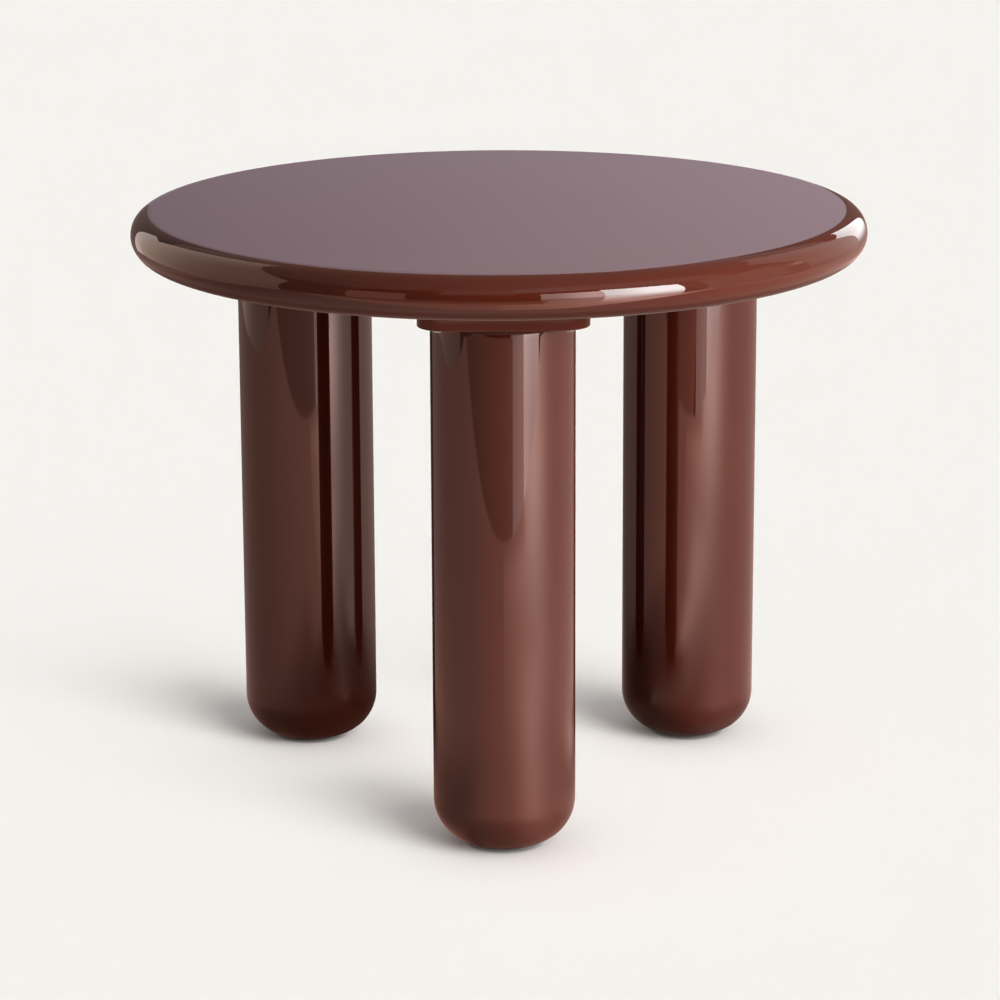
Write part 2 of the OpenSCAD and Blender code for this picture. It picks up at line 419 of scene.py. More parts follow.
makeTubes()


# Foot: turned block with a large rounding, a seat for the glide and a spigot in the tube
foot = {"diameter": 94, "height": 42, "rounding": 30, "roundingSteps": 48,
        "spigot": 75.7, "spigotHeight": 30, "spigotEase": 2, "spigotSteps": 6,
        "glideSeat": 28.4, "seatDepth": 2, "screwHole": 4.2, "screwHoleDepth": 20.4,
        "support": 0.6}   # mm from the rounding to the rings that hold its ends


# A turned section: from the screw's blind hole out across the seat, round the foot and up the spigot
def makeFeet():
    base = heights["floorClearance"]
    outer, r = foot["diameter"] / 2, foot["rounding"]
    hole, seat = foot["screwHole"] / 2, foot["glideSeat"] / 2
    spigot, ease = foot["spigot"] / 2, foot["spigotEase"]
    roof, shoulder = base + foot["seatDepth"], base + foot["height"]
    end = base + foot["screwHoleDepth"]
    inside = [(0, end), (hole, end), (hole, roof), (seat, roof), (seat, base)]
    rounding = arc((outer - r, base + r), r, -90, 0, foot["roundingSteps"])
    outside = np.concatenate([[(outer - r - foot["support"], base)], rounding,
                              [(outer, base + r + foot["support"]), (outer, shoulder)]])
    crown = shoulder + foot["spigotHeight"]
    bevel = arc((spigot - ease, crown - ease), ease, 0, 90, foot["spigotSteps"])
    upper = np.concatenate([[(spigot, shoulder)], bevel, [(0, crown)]])
    profile = np.concatenate([inside, outside, upper])
    rowMaterials = [1] * (len(inside) - 1) + [0] * len(outside) + [1] * len(upper)
    skin = ringSkin(profile[:, :1], profile[:, 1:], ringAngles(tube["ringSteps"]))
    mesh = makeMesh("foot", skin, rowMaterials[:len(profile) - 1])
    finishOnLegs("FootTurning", mesh, [lacquerFinish, boardFinish], "foot")


makeFeet()
print("legs and feet made")


# Mounting plate: square with round corners and a rounded lower edge
plate = {"width": 110, "corner": 18, "cornerSteps": 16, "ease": 1, "easeSteps": 8, "support": 1,
         "boltHole": 6.6, "screwPlace": 15.556, "screwHole": 5.2, "screwHead": 10.2, "headSink": 0.3}
plateCount = 4 * (plate["cornerSteps"] + 1)   # points of its outline


# Outline of the plate, drawn in by a distance: a quarter circle round each corner's centre, and the
# straight sides between them
def plateOutline(inset):
    steps = plate["cornerSteps"]
    a = np.arange(plateCount)
    angle = a // (steps + 1) * (turn / 4) + a % (steps + 1) * (turn / 4 / steps)
    sign = np.array([(1, 1), (-1, 1), (-1, -1), (1, -1)])[a // (steps + 1)]
    centre = sign * (plate["width"] / 2 - plate["corner"])
    return centre + (plate["corner"] - inset) * np.stack([np.cos(angle), np.sin(angle)], -1)


# The plate's skin carries that outline from its lower face, round the eased edge and up to its upper face
def makePlates():
    low, high, ease = heights["tubeTop"], heights["underTop"], plate["ease"]
    rounding = np.radians(np.linspace(90, 0, plate["easeSteps"] + 1))
    eased = [(ease * (1 - math.cos(a)), low + ease * (1 - math.sin(a))) for a in rounding]
    inner = plate["corner"] - 0.01   # as far in as the corners stay round
    steps = [(inner, low), (ease + plate["support"], low)] + eased + [(0, high), (inner, high)]
    rows = [np.column_stack([plateOutline(inset), np.full(plateCount, z)]) for inset, z in steps]
    middle = [np.zeros((plateCount, 3)) + (0, 0, z) for z in (low, high)]
    mesh = makeMesh("plate", gridSkin(np.stack([middle[0]] + rows + [middle[1]])))
    holes = []
    for x, y in corners(top["boltPlace"]):
        holes.append(moveSkin(drill(plate["boltHole"] / 2, low - overcut, high + overcut), x, y))
    for x, y in corners(plate["screwPlace"]):
        holes.append(moveSkin(screwHole(low - overcut, high, high + overcut), x, y))
    mesh = cutOut(mesh, joinSkins(holes), 2)
    finishOnLegs("MountingPlate", mesh, [lacquerFinish, boardFinish], "mounting_plate")


# Hole for a flat-headed screw whose head lies under the face: the thread's hole, a cone and the sunk rim
def screwHole(low, face, high):
    thread, head = plate["screwHole"] / 2, plate["screwHead"] / 2
    rim = face - plate["headSink"]
    hole = np.array([(0, low), (thread, low), (thread, rim - (head - thread)), (head, rim), (head, high),
                     (0, high)])
    return ringSkin(hole[:, :1], hole[:, 1:], ringAngles(32))


makePlates()


# Head block: glued stack of board in the tube's top end
head = {"diameter": 75.7, "height": 50, "bevel": 0.5, "ringSteps": 144, "screwDepth": 38}


# A cylinder's section with bevelled edges, from the axis below round to the axis above
def makeHeadBlocks():
    high = heights["tubeTop"]
    low = high - head["height"]
    r, bevel = head["diameter"] / 2, head["bevel"]
    profile = np.array([(0, low), (r - bevel, low), (r, low + bevel), (r, high - bevel), (r - bevel, high),
                        (0, high)])
    mesh = makeMesh("headBlock", ringSkin(profile[:, :1], profile[:, 1:], ringAngles(head["ringSteps"])))
    holes = []
    for x, y in corners(plate["screwPlace"]):
        bottom = high - head["screwDepth"] - 1   # 1 mm below the screw's tip
        holes.append(moveSkin(drill(plate["screwHole"] / 2, bottom, high + overcut), x, y))
    mesh = cutOut(mesh, joinSkins(holes), 1)
    finishOnLegs("HeadBlock", mesh, [boardFinish], "head_block")


makeHeadBlocks()
print("plates and head blocks made")


# Glide: moulded disc with a groove, a rounded lower edge and a countersunk hole
glide = {"diameter": 28, "height": 4, "ease": 1, "easeSteps": 8, "bevel": 0.3, "ringSteps": 96,
         "screwHole": 4.2, "screwHead": 8.2, "headSink": 0.3,
         "groove": [(2.4, 0), (2.7, 0.5), (3.7, 0.5), (4, 0)]}   # mm outside the screw's rim, and deep


# A ring's section, walked round once: down the screw's hole and cone, across the groove, and up outside
def makeGlides():
    r, high, ease = glide["diameter"] / 2, glide["height"], glide["ease"]
    hole, rim, sink = glide["screwHole"] / 2, glide["screwHead"] / 2, glide["headSink"]
    cone = [(hole, high), (hole, sink + rim - hole), (rim, sink), (rim, 0)]
    groove = [(rim + out, deep) for out, deep in glide["groove"]]
    rounding = arc((r - ease, ease), ease, -90, 0, glide["easeSteps"])
    bevel = [(r, high - glide["bevel"]), (r - glide["bevel"], high)]
    profile = np.concatenate([cone, groove, rounding, bevel])
    skin = ringSkin(profile[:, :1], profile[:, 1:], ringAngles(glide["ringSteps"]), closed=True)
    mesh = makeMesh("glide", skin)
    finishOnLegs("GlideDisc", mesh, [nylonFinish], "glide")


makeGlides()


# Fasteners

# How far a point lies up a thread's ridge, 0 to 1: its height in turns of the pitch less its angle in
# turns, folded into a triangle and cut flat at its crest
def ridge(height, angle, pitch, crest=0.15):
    share = (height / pitch - angle / turn) % 1
    return np.clip((1 - np.abs(2 * share - 1)) / (1 - crest), 0, 1)


# Radius of a hexagon of that width across its flats, in each direction
def hexagon(angle, width):
    return width / 2 / np.cos((angle + turn / 12) % (turn / 6) - turn / 12)


# Radius of a cross with arms of that length and width, in each direction
def crossShape(angle, length, width):
    c, s = np.abs(np.cos(angle)) + 1e-9, np.abs(np.sin(angle)) + 1e-9
    return np.maximum(np.minimum(length / 2 / c, width / 2 / s), np.minimum(width / 2 / c, length / 2 / s))


# Rows of radius and height, joined into one grid; each row may be one number or one for each angle
def stackRows(rows, angle, closed=False):
    radius = np.stack([np.broadcast_to(r, angle.shape[-1:]) for r, z in rows])
    height = np.stack([np.broadcast_to(z, angle.shape[-1:]) for r, z in rows])
    return ringSkin(radius, height, angle, closed)


# Corner bolt: domed head with a hexagon socket, turned upwards into the insert
bolt = {"thread": 6, "length": 25, "pitch": 1, "threadDepth": 0.5, "ringsPerTurn": 8, "tip": 0.8,
        "head": 10.5, "headHeight": 3.3, "domeRings": 12, "key": 4, "keyDepth": 1.9,
        "keyBevel": 0.15, "keyCone": 0.4, "ringSteps": 48}


# Grid round the bolt's axis: the socket's floor and hexagonal wall, the dome as a ball's cap, the head's
# flat upper face, and the thread's ridge up to the bevelled tip
def makeBolts():
    angle = ringAngles(bolt["ringSteps"])
    a = angle[0]
    face = heights["tubeTop"]
    rimR, h = bolt["head"] / 2, bolt["headHeight"]
    ball = (rimR ** 2 + h ** 2) / (2 * h)
    key = hexagon(a, bolt["key"])
    cap = lambda r: face + ball - h - np.sqrt(ball ** 2 - r ** 2)
    floor = face - h + bolt["keyDepth"]
    mouth = key + bolt["keyBevel"]
    rows = [(0, floor + bolt["keyCone"]), (key * 0.98, floor), (key, cap(mouth) + bolt["keyBevel"]),
            (mouth, cap(mouth))]
    for share in np.linspace(0.12, 1, bolt["domeRings"]):
        r = mouth * (1 - share) + rimR * share
        rows.append((r, cap(r)))
    core = bolt["thread"] / 2 - bolt["threadDepth"]
    rows.append((bolt["thread"] / 2, face))
    for z in np.arange(0.0, bolt["length"], bolt["pitch"] / bolt["ringsPerTurn"]):
        taper = min(1, max(0, (bolt["length"] - z) / bolt["tip"]))
        r = (core + bolt["threadDepth"] * ridge(z, a, bolt["pitch"])) * (0.75 + 0.25 * taper)
        rows.append((r, face + z + 0.001))
    rows.append((core * 0.7, face + bolt["length"]))
    rows.append((0, face + bolt["length"]))
    one = stackRows(rows, angle)
    skin = joinSkins([moveSkin(one, x, y) for x, y in corners(top["boltPlace"])])
    finishOnLegs("CornerBolts", makeMesh("bolts", skin, crease=40), [boltFinish],
                 "corner_bolts")


makeBolts()


# Threaded insert: coarse ridge outside, fine one inside, and a slot across its mouth
insert = {"outer": 10, "length": 15, "pitch": 2.5, "ridge": 0.8, "ringsPerTurn": 10,
          "bore": 6.2, "borePitch": 1, "boreRidge": 0.45, "boreRings": 6,
          "slot": 1.6, "bevel": 0.3, "plain": 0.4, "ringSteps": 96}


# Grid walked up the outside and down the bore. At the mouth the height follows the slot: it steps up
# wherever the point lies within half the slot's width of its middle line
def makeInserts():
    angle = ringAngles(insert["ringSteps"])
    a = angle[0]
    low = heights["underTop"]
    outer, bore = insert["outer"] / 2, insert["bore"] / 2
    depth, length, bevel, plain = insert["ridge"], insert["length"], insert["bevel"], insert["plain"]
    slotted = lambda r: np.where(np.abs(r * np.sin(a)) < insert["slot"] / 2, insert["slot"], 0.0)
    rows = [(outer - depth / 2, low + slotted(outer))]
    step = insert["pitch"] / insert["ringsPerTurn"]
    for z in np.arange(insert["slot"] + plain, length - 2 * bevel, step):
        rows.append((outer - depth * (1 - ridge(z, a, insert["pitch"], 0.3)), low + z))
    rows += [(outer - depth, low + length - bevel), (outer - depth - bevel, low + length),
             (bore + bevel, low + length)]
    step = insert["borePitch"] / insert["boreRings"]
    for z in np.arange(length - plain, insert["slot"] + bevel, -step):
        rows.append((bore + insert["boreRidge"] * (1 - ridge(z, a, insert["borePitch"])), low + z))
    rows.append((bore, low + slotted(bore)))
    one = stackRows(rows, angle, closed=True)
    skin = joinSkins([moveSkin(one, x, y) for x, y in corners(top["boltPlace"])])
    finishOnLegs("ThreadedInserts", makeMesh("inserts", skin, crease=40), [boltFinish],
                 "threaded_inserts")


makeInserts()


# Wood screws: flat head with a cross recess, coarse thread and a point
plateScrew = {"thread": 5, "length": 49.7, "pitch": 2.4, "head": 10, "steps": 40}
glideScrew = {"thread": 4, "length": 21.7, "pitch": 1.8, "head": 8, "steps": 32}
# Both have the same shares: core and neck of the thread's radius, the neck's length of the thread's
# diameter, the recess's width of the head's radius, and its depths of the cone's
screwShape = {"core": 0.68, "neck": 0.9, "neckLength": 1.2, "tip": 0.12, "ringsPerTurn": 8,
              "recessWidth": 0.2, "recessTaper": 0.85, "recessWall": 0.7, "recessTip": 0.95,
              "bevel": 0.12}   # mm


# Grid round the screw's axis, head upwards at height 0: the recess's floor and cross-shaped wall, the
# flat face, the cone, a plain neck, and the thread whose ridge and core both narrow to the point
def screwSkin(screw):
    angle = ringAngles(screw["steps"] * 2)
    a = angle[0]
    r, rimR, length = screw["thread"] / 2, screw["head"] / 2, screw["length"]
    cross = crossShape(a, rimR, rimR * screwShape["recessWidth"])
    depth, bevel, tip = rimR - r, screwShape["bevel"], screwShape["tip"]
    core, waist = r * screwShape["core"], r * screwShape["neck"]
    neck = -depth - screw["thread"] * screwShape["neckLength"]
    rows = [(0, -length)]
    for z in np.arange(-length + 0.3, neck, screw["pitch"] / screwShape["ringsPerTurn"]):
        share = min(1, (z + length) / screw["thread"])
        reach = core + (r - core) * ridge(z, a, screw["pitch"], 0.05)
        rows.append((reach * (tip + (1 - tip) * share), z))
    rows += [(waist, neck + 0.3), (waist, -depth - 0.2), (rimR - 0.15, -0.25), (rimR, -bevel),
             (rimR - 0.05, 0)]
    rows += [(cross + bevel, 0), (cross, -bevel),
             (cross * screwShape["recessTaper"], -depth * screwShape["recessWall"]),
             (0, -depth * screwShape["recessTip"])]
    return stackRows(rows, angle)


# The plate's screws hang from its face head upwards, and the glide's is turned over, head down
def makeScrews():
    one = screwSkin(plateScrew)
    face = heights["underTop"] - plate["headSink"]
    skin = joinSkins([moveSkin(one, x, y, face) for x, y in corners(plate["screwPlace"])])
    finishOnLegs("PlateScrews", makeMesh("plateScrews", skin, crease=40), [screwFinish],
                 "plate_screws")
    points, quads = screwSkin(glideScrew)
    points = points * np.array([1, -1, -1]) + np.array([0, 0, glide["headSink"]])   # half a turn about X
    finishOnLegs("GlideScrew", makeMesh("glideScrew", (points, quads), crease=40), [screwFinish],
                 "glide_screw")


makeScrews()
print("fasteners made")


# Camera: a long lens a little above the table, fitted to the photograph's outlines
view = {"lens": 135.33, "sensor": 36, "distance": 2.5244, "height": 0.8498, "down": 0.25432, "yaw": 0.01402,
        "roll": 0.004}


# It stands back from the axis along its level direction and looks down by an angle. Its right and upper
# axes are turned by the roll: right cos - above sin, right sin + above cos
def makeCamera():
    data = bpy.data.cameras.new("camera")
    data.lens, data.sensor_width = view["lens"], view["sensor"]
    data.clip_start, data.clip_end = 0.05, 60
    camera = bpy.data.objects.new("camera", data)
    level = Vector((math.sin(view["yaw"]), math.cos(view["yaw"]), 0))
    ahead = level * math.cos(view["down"]) - Vector((0, 0, math.sin(view["down"])))
    right = ahead.cross(Vector((0, 0, 1))).normalized()
    above = right.cross(ahead)
    c, s = math.cos(view["roll"]), math.sin(view["roll"])
    axes = Matrix((right * c - above * s, right * s + above * c, -ahead)).transposed()
    place = Vector((0, 0, view["height"])) - level * view["distance"]
    camera.matrix_world = Matrix.Translation(place) @ axes.to_4x4()
    bpy.context.scene.collection.objects.link(camera)
    bpy.context.scene.camera = camera


makeCamera()


# Studio

pale = "#F5F3EF"
studio = {
    "paperFront": -1.0,      # m, where the white paper ends towards the camera
    "floorFront": -1.9,      # m, where the floor past it ends
    "floorLeft": -1.5,       # m, and where it ends on the left, as the lacquer mirrors it
    # Painted beam of light on the sheet that stands for the floor in reflections, from a leg: brightness, and
    # the reach in m over which it fades
    "closeBeams": {"front": (2.2, 0.3, 0.6), "right": (1.0, 0.1, 0.26)},
    "shadeReach": 0.045,     # m, how far round a foot the paper's own glow is darkened as painted shade
    "gapReach": 0.0035,      # m, how high the space below a foot is where the paper's colour is darkened as painted contact shade
    # Lamps on the floor: share of its brightness, azimuth (0 along +Y, 90 along +X), elevation and width
    # in degrees. The room's weak fill adds its own, and the rest is the paper's
    "floorLamps": [(0.28, 140, 14, 38), (0.28, 136, 32, 46), (0.26, 0, 90, 150)],
    "worldFill": 0.06,
    "paperBounce": 0.1,      # what diffuse rays find of the paper
    # Light from below on each kind of piece, and what the bolts mirror of it
    "bounce": {"board": 0.28, "plates": 0.55, "feet": 0.06, "bolts": 4},
    "bounceFrom": (155, -37, 110),   # its azimuth, elevation and width in degrees
    # Key light: share at which colours come out as written, azimuth and elevation; for the top, for the
    # legs, and for the left leg, which a flag keeps dark
    "keyTop": (0.94, 118, 25),
    "keyLegs": (0.7, 122, 13),
    "keyLeft": (0.12, 122, 13),
    "cardCentre": 0.2,       # m in front of the table's axis, from where the cards' azimuths count
}

# The floor's light as the lacquer mirrors it, painted light and painted shade on a sheet that only
# reflections show. Azimuths and widths are in degrees, and a reach is where a change begins and where it
# ends, in m from the table's axis or from a leg
floorLight = {
    "everywhere": 0.2,
    "axisDip": 0.4,          # painted shade: share left under the table
    "axisReach": (0.05, 0.35),
    "legDip": 0.05,          # painted shade: share left under a foot, and what comes back in two steps
    "legSteps": [(0.5, 0.025, 0.05), (0.45, 0.05, 0.13)],
    "wide": 1.7,
    "wideAzimuth": 165,
    "widePower": 0.75,
    "beam": 1.7,
    "beamGain": 4.0,         # what the beam gains by its far end
    "gainReach": (0.6, 1.3),
    "beamAzimuth": 141,
    "beamWidth": 20,
    "beamReach": (0.35, 0.65),
    "pastPaper": 0.5,        # share lost past the paper's end
}


# A sheet in the room, a grid between four corners
def sheetOf(name, cornersOf, steps=2, glow=None):
    u, v = np.meshgrid(np.linspace(0, 1, steps), np.linspace(0, 1, steps))
    a, b, c, d = [np.array(p, float) for p in cornersOf]
    u3, v3 = u[..., None], v[..., None]
    points = ((a * (1 - u3) + b * u3) * (1 - v3) + (d * (1 - u3) + c * u3) * v3).reshape(-1, 3)
    i = np.arange(steps - 1)
    first = (i[:, None] * steps + i[None, :]).ravel()
    quads = np.stack([first, first + 1, first + steps + 1, first + steps], -1)
    mesh = bpy.data.meshes.new(name)
    mesh.from_pydata(points.tolist(), [], quads.tolist())
    if glow is not None:
        shown = np.concatenate([glow(points), np.ones((len(points), 1))], -1)
        layer = mesh.attributes.new("glow", "FLOAT_COLOR", "POINT")
        layer.data.foreach_set("color", shown.astype(np.float32).ravel())
    piece = bpy.data.objects.new(name, mesh)
    bpy.context.scene.collection.objects.link(piece)
    piece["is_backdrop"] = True
    return piece


# Card of painted light that only shows in reflections, as a softbox, reflector or flag does from beside the
# camera, and gives no diffuse light. Its light is one colour, or a function of its points in metres that
# gives a linear colour for each
def card(name, cornersOf, light, steps=24):
    graded = callable(light)
    piece = sheetOf(name, cornersOf, steps if graded else 2, light if graded else None)
    material, tree = newMaterial(name)
    emission = addNode(tree, "ShaderNodeEmission", {"Strength": 1.0})
    if graded:
        layer = addNode(tree, "ShaderNodeAttribute", {"attribute_name": "glow"})
        tree.links.new(layer.outputs["Color"], emission.inputs["Color"])
    else:
        emission.inputs["Color"].default_value = (*light, 1)
    addNode(tree, "ShaderNodeOutputMaterial", links={"Surface": (emission, "Emission")})
    piece.data.materials.append(material)
    piece.visible_camera = piece.visible_diffuse = piece.visible_shadow = False
    return piece


# Light of a colour: its hex code times a strength, for one point or for each of many
def lit(code, strength):
    return np.asarray(strength)[..., None] * np.array(linear(code)[:3])


# Light that goes from one to another by a share for each point
def between(first, second, share):
    return np.asarray(first) * (1 - share[:, None]) + np.asarray(second) * share[:, None]


# 0 up to the low end, 1 from the high one, and t t (3 - 2 t) between them
def smoothStep(value, low, high):
    t = np.clip((value - low) / (high - low), 0, 1)
    return t * t * (3 - 2 * t)


# Corners of an upright card between two azimuths at a distance from the cards' centre, with the heights
# of its lower edge and of its upper edge's two ends, in metres
def upright(azimuths, low, highs, distance):
    a = np.radians(azimuths)
    x, y = distance * np.sin(a), distance * np.cos(a) - studio["cardCentre"]
    return [(x[0], y[0], low), (x[1], y[1], low), (x[1], y[1], highs[1]), (x[0], y[0], highs[0])]


# The angle whose tangent is x over y, seen from the cards' centre
def azimuthOf(points):
    return np.degrees(np.arctan2(points[:, 0], points[:, 1] + studio["cardCentre"]))


# Painted light of the floor as the lacquer mirrors it: a wide lobe away from the table towards the camera,
# a narrow painted beam in the key light's path that gains with distance, and one like it from the front leg
# and from the right one. All are darkened by painted shade near the table's axis and its feet, and weaker
# past the paper's end. On the left the painted light is redder
def paintedFloorLight(points):
    light = floorLight
    x, y = points[:, 0], points[:, 1]
    azimuth = np.degrees(np.arctan2(x, y))
    away = lambda middle: np.abs((azimuth - middle + 180) % 360 - 180)
    far = np.hypot(x, y)
    # Painted shade: the floor's light is darkened under the table and, below, round each foot
    near = light["axisDip"] + (1 - light["axisDip"]) * smoothStep(far, *light["axisReach"])
    close = np.zeros_like(x)
    for name, degrees in legTurns.items():
        a = math.radians(degrees)
        legX, legY = legPlace * mm * math.sin(a), -legPlace * mm * math.cos(a)
        fromLeg = np.hypot(x - legX, y - legY)
        (some, *nearer), (rest, *further) = light["legSteps"]
        near = near * (light["legDip"] + some * smoothStep(fromLeg, *nearer)
                       + rest * smoothStep(fromLeg, *further))
        if name in studio["closeBeams"]:
            level, low, high = studio["closeBeams"][name]
            turned = np.degrees(np.arctan2(x - legX, y - legY)) - light["beamAzimuth"]
            streak = level * np.exp(-(turned / light["beamWidth"]) ** 2)
            close = np.maximum(close, streak * (1 - smoothStep(fromLeg, low, high)))
        # Painted shade: beside the front leg the wide lobe is dimmed by half
        if name == "front":
            beside = smoothStep(away(light["wideAzimuth"]), 20, 50) * (1 - smoothStep(fromLeg, 0.15, 0.35))
    lobe = ((1 + np.cos(np.radians(away(light["wideAzimuth"])))) / 2) ** light["widePower"]
    wide = light["wide"] * lobe * (1 - 0.5 * beside)
    # Towards the camera the beam is wider up to about a metre, and loses half beyond
    width = light["beamWidth"]
    spread = np.where(azimuth < light["beamAzimuth"], width,
                      width + 1 + 13 * (1 - smoothStep(far, 0.85, 1.05)))
    beam = np.exp(-(away(light["beamAzimuth"]) / spread) ** 2) * smoothStep(far, *light["beamReach"])
    beam = beam * (1 - 0.5 * smoothStep(azimuth, 150, 155) * smoothStep(far, 0.9, 1.05))
    narrow = (light["beam"] + light["beamGain"] * smoothStep(far, *light["gainReach"])) * beam + close
    past = 1 - light["pastPaper"] * (y < studio["paperFront"] - 0.001)
    redShare = smoothStep(np.cos(np.radians(azimuth + 130)), -0.2, 0.8)
    colour = between(lit("#FFD4C8", 1), lit("#FFB4A2", 1), redShare)
    return ((light["everywhere"] + wide + narrow) * near * past)[:, None] * colour


# Painted shade on a sheet just below the tabletop's edge, which the edge mirrors in place of the floor that
# it shades itself: darker on the left and towards the axis
def paintedEdgeShade(points):
    share = smoothStep(points[:, 0] - points[:, 1], -0.05, 0.25)
    outwards = 0.4 + 0.6 * smoothStep(np.hypot(points[:, 0], points[:, 1]), 0.244, 0.256)
    return between(lit("#FFCABC", 0.45), lit("#FFD6C8", 1.0), share) * outwards[:, None]


# Lamp that lights only its receivers and that only its blockers shade. No reflection shows it
def addLamp(name, kind, receivers, blockers=None):
    data = bpy.data.lights.new(name, kind)
    lamp = bpy.data.objects.new(name, data)
    bpy.context.scene.collection.objects.link(lamp)
    lamp.light_linking.receiver_collection = receivers
    if blockers:
        lamp.light_linking.blocker_collection = blockers
    lamp.visible_glossy = lamp.visible_camera = False
    lamp.rotation_mode = "QUATERNION"
    return lamp, data


# Unit vector to an azimuth and elevation: sin a cos e, cos a cos e, sin e
def direction(azimuth, elevation):
    a, e = math.radians(azimuth), math.radians(elevation)
    return Vector((math.sin(a) * math.cos(e), math.cos(a) * math.cos(e), math.sin(e)))


# Collection for light linking
def groupOf(name, pieces):
    group = bpy.data.collections.new(name)
    for piece in pieces:
        group.objects.link(piece)
    return group


# Key light: a softbox on the right. W watts at d metres give a facing surface W / (pi d d), and it shows
# its colour times W / (pi pi d d)
def addKey(name, receivers, level, azimuth, elevation):
    width, height, distance = 0.9, 1.1, 2.0
    lamp, data = addLamp(name, "AREA", receivers)
    data.shape, data.size, data.size_y = "RECTANGLE", width, height
    data.energy = level * math.pi ** 2 * distance ** 2
    aim = direction(azimuth, elevation)
    lamp.location = aim * distance + Vector((0, 0, 0.25))
    lamp.rotation_quaternion = aim.to_track_quat("Z", "Y")


# The pale paper as the camera sees it: its own glow with painted shade round each foot, its colour with
# painted contact shade below a foot, and what the floor's lamps add. Diffuse rays find it dim, because the
# photograph's table gets hardly any light from it
def addFloor():
    front = studio["paperFront"]
    floor = sheetOf("floor", [(-6, front, 0), (6, front, 0), (6, 9, 0), (-6, 9, 0)])
    material, tree = newMaterial("palePaper")
    # Painted contact shade: ambient occlusion darkens the paper's colour where a foot comes close
    paintedContactShade = addNode(tree, "ShaderNodeAmbientOcclusion",
                  {"samples": 8, "Distance": studio["gapReach"], "Color": linear(pale)})
    matt = addNode(tree, "ShaderNodeBsdfDiffuse", links={"Color": (paintedContactShade, "Color")})
    own = 1 - sum(lamp[0] for lamp in studio["floorLamps"]) - studio["worldFill"]
    # Painted shade: ambient occlusion darkens the paper's own glow round each foot
    shade = addNode(tree, "ShaderNodeAmbientOcclusion", {"samples": 8, "Distance": studio["shadeReach"]})
    glow = addNode(tree, "ShaderNodeMath", {"operation": "MULTIPLY", 1: own}, {0: (shade, "AO")})
    paper = addNode(tree, "ShaderNodeEmission", {"Color": linear(pale)}, {"Strength": (glow, "Value")})
    seen = addNode(tree, "ShaderNodeAddShader", links={0: (matt, "BSDF"), 1: (paper, "Emission")})
    bounce = addNode(tree, "ShaderNodeEmission", {"Color": linear(pale), "Strength": studio["paperBounce"]})
    path = addNode(tree, "ShaderNodeLightPath")
    either = addNode(tree, "ShaderNodeMixShader",
                     links={0: (path, "Is Diffuse Ray"), 1: (seen, "Shader"), 2: (bounce, "Emission")})
    addNode(tree, "ShaderNodeOutputMaterial", links={"Surface": (either, "Shader")})
    floor.data.materials.append(material)
    floor.visible_glossy = False
    return floor


# The key softbox as the lacquer mirrors it, painted on a card: brightest above, warmer towards its lower end.
# Above, its side towards the camera is dimmer, and below it is brighter
def keyGlow(points):
    height = points[:, 2]
    side = smoothStep(azimuthOf(points), 130, 147)
    share = smoothStep(height, -0.1, 0.3)
    level = 1 + side * (0.35 - 0.68 * share)
    return between(lit("#FFDCD6", 5.6), lit("#FFFFFF", 20), smoothStep(height, -0.2, 0.6)) * level[:, None]


# The right wall, painted on a card: two steps brighter towards the key light as painted light, with a small
# painted highlight high on its far end
def wallGlow(points):
    azimuth, height = azimuthOf(points), points[:, 2]
    paintedHighlight = 1.4 * np.exp(-((azimuth - 74) / 4) ** 2 - ((height - 0.93) / 0.12) ** 2)
    steps = 0.5 + 0.32 * smoothStep(azimuth, 78, 86) + 0.2 * smoothStep(azimuth, 107, 114)
    return lit("#FFFAEC", steps + paintedHighlight)
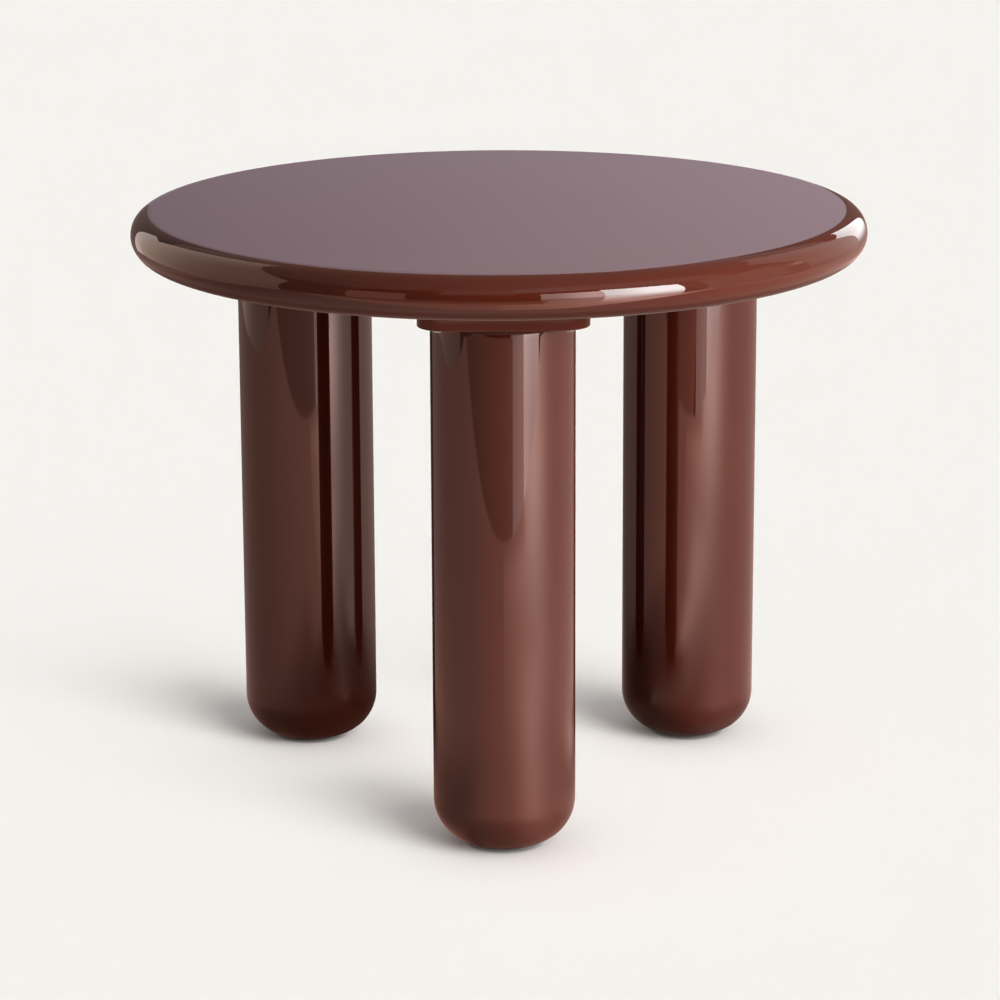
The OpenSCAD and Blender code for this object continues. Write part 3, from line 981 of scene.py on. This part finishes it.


# The studio as the lacquer mirrors it, painted on cards, each with its painted light
def addCards():
    front, past, left = studio["paperFront"], studio["floorFront"], studio["floorLeft"]
    card("floorMirrored", [(left, front, 0), (4, front, 0), (4, 5, 0), (left, 5, 0)], paintedFloorLight, 220)
    card("floorPast", [(left, past, 0), (0.45, past, 0), (0.2, front, 0), (left, front, 0)], paintedFloorLight, 60)
    half, under = 0.265, 0.354   # m, a sheet a little wider than the top and just below its edge
    square = [(-half, -half, under), (half, -half, under), (half, half, under), (-half, half, under)]
    card("belowEdge", square, paintedEdgeShade, 120)
    card("keySoftbox", upright((122, 148), -0.6, (1.2, 1.38), 2.0), keyGlow, 60)
    card("keySide", upright((148, 168), -0.6, (1.2, 1.08), 2.0),
         lambda p: between(lit("#FFD6CC", 3.6), lit("#FFE4DE", 8), smoothStep(p[:, 2], 0.1, 0.4))
         * (1 - smoothStep(azimuthOf(p), 151, 165) * (0.25 + 0.3 * smoothStep(p[:, 2], -0.1, 0.1)))[:, None],
         40)
    card("frontReflector", upright((-150, -131), -0.02, (0.98, 0.98), 2.0), lit("#FFB3A2", 1.3))
    card("leftPanel", upright((-108, -38), -0.6, (1.25, 2.7), 2.0),
         lambda p: between(lit("#FFC9B4", 1.35), lit("#FFDCC9", 1.5), smoothStep(azimuthOf(p), -80, -42))
         * (0.75 + 0.25 * smoothStep(p[:, 2], 0, 0.8))[:, None])
    card("leftPanelEnd", upright((-38, -30), -0.3, (1.05, 1.05), 2.0), lit("#FFE4DA", 1.4))
    card("backdrop", [(-0.7, 3, -0.6), (0.6, 3, -0.6), (0.6, 3, 3.4), (-0.7, 3, 3.4)],
         lambda p: lit("#FFE9F7", (0.53 + 0.25 * p[:, 0]) * (1 + 1.5 * smoothStep(p[:, 2], 0.9, 3.0))))
    card("backSoftbox", upright((23, 38), 0.2, (1.12, 1.12), 2.0),
         lambda p: lit("#FCFFFF", 0.6 + 2.7 * smoothStep(p[:, 2], 0.2, 0.55)))
    card("rightWallFar", upright((38, 72), -0.5, (2.6, 2.4), 2.2),
         lambda p: lit("#FFF4E8", 0.65 + 0.33 * smoothStep(p[:, 2], 0, 0.6)))
    card("rightWallNear", upright((72, 114), -0.5, (1.5, 1.3), 2.1), wallGlow, 60)
    card("aboveKey", upright((100, 176), 1.45, (2.6, 2.6), 2.3), lit("#FFEEE4", 0.85))
    card("aboveCamera", upright((176, 200), 1.2, (2.6, 2.6), 2.6), lit("#FFDAD0", 0.6))
    x0, x1, y0, y1, z0, z1 = -5, 5, -5, 6, -0.9, 4   # m, the room's walls, ground and ceiling
    card("roomGround", [(x0, y0, z0), (x1, y0, z0), (x1, y1, z0), (x0, y1, z0)], lit("#FFCCC0", 0.15))
    card("roomCeiling", [(x0, y0, z1), (x1, y0, z1), (x1, y1, z1), (x0, y1, z1)],
         lambda p: between(lit("#FFDCCC", 0.38), lit("#FFF8F0", 0.4), smoothStep(p[:, 0], -1.5, 1.5)))
    card("roomFront", [(x0, y0, z0), (x1, y0, z0), (x1, y0, z1), (x0, y0, z1)], lit("#FFB0A0", 0.12))
    card("roomBack", [(x0, y1, z0), (x1, y1, z0), (x1, y1, z1), (x0, y1, z1)], lit("#FFDAD0", 0.2))
    card("roomLeft", [(x0, y0, z0), (x0, y1, z0), (x0, y1, z1), (x0, y0, z1)], lit("#FFC8B8", 0.25))
    card("roomRight", [(x1, y0, z0), (x1, y1, z0), (x1, y1, z1), (x1, y0, z1)], lit("#FFF4E8", 0.45))


# The backdrop in its own colour for the camera and reflections, and dim for everything else
def addWorld():
    world = bpy.data.worlds.new("studioWorld")
    bpy.context.scene.world = world
    world.use_nodes = True
    tree = world.node_tree
    tree.nodes.clear()
    path = addNode(tree, "ShaderNodeLightPath")
    mirrored = addNode(tree, "ShaderNodeMath", {"operation": "MAXIMUM"},
                       {0: (path, "Is Glossy Ray"), 1: (path, "Is Transmission Ray")})
    shown = addNode(tree, "ShaderNodeMath", {"operation": "MAXIMUM"},
                    {0: (path, "Is Camera Ray"), 1: (mirrored, "Value")})
    dim = addNode(tree, "ShaderNodeBackground", {"Color": linear(pale), "Strength": studio["worldFill"]})
    bright = addNode(tree, "ShaderNodeBackground", {"Color": linear(pale), "Strength": 1.0})
    both = addNode(tree, "ShaderNodeMixShader",
                   links={0: (shown, "Value"), 1: (dim, "Background"), 2: (bright, "Background")})
    addNode(tree, "ShaderNodeOutputWorld", links={"Surface": (both, "Shader")})


# Key light in three groups, light from below in four, the floor's lamps, the cards and the world
def makeStudio():
    floor = addFloor()
    onlyFloor = groupOf("onlyFloor", [floor])
    upper = [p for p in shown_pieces() if "topBoard" in p.name or "Plate" in p.name or "Bolts" in p.name]
    lower = [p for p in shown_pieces() if p not in upper]
    feet = groupOf("footPieces", [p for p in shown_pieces() if "Foot" in p.name or "Glide" in p.name])
    addKey("keyLightTop", groupOf("upperPieces", upper), *studio["keyTop"])
    left = [p for p in lower if p.name.startswith("left")]
    addKey("keyLightLegs", groupOf("litLegs", [p for p in lower if p not in left]), *studio["keyLegs"])
    addKey("keyLightLeft", groupOf("leftLeg", left), *studio["keyLeft"])
    # What the floor throws back up at the pieces, shaded by the table alone
    shades = groupOf("bounceShades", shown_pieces())
    bounced = {"board": "topBoard", "plates": "MountingPlate", "feet": "Foot", "bolts": "Bolts"}
    azimuth, elevation, angle = studio["bounceFrom"]
    for name, word in bounced.items():
        group = groupOf(name + "Bounced", [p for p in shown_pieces() if word in p.name])
        lamp, data = addLamp(name + "Bounce", "SUN", group, shades)
        lamp.rotation_quaternion = direction(azimuth, elevation).to_track_quat("Z", "Y")
        data.angle, data.energy = math.radians(angle), studio["bounce"][name] * math.pi
        lamp.visible_glossy = name == "bolts"
    # Two soft suns low on the front right and a wide one overhead, which only the feet shade
    for number, (share, azimuth, elevation, angle) in enumerate(studio["floorLamps"]):
        lamp, data = addLamp("floorLamp%d" % number, "SUN", onlyFloor, feet)
        aim = direction(azimuth, elevation)
        lamp.rotation_quaternion = aim.to_track_quat("Z", "Y")
        data.angle, data.energy = math.radians(angle), share * math.pi / aim.z
    addCards()
    addWorld()
    bpy.context.scene.view_settings.view_transform = "Standard"


makeStudio()
print("studio made")
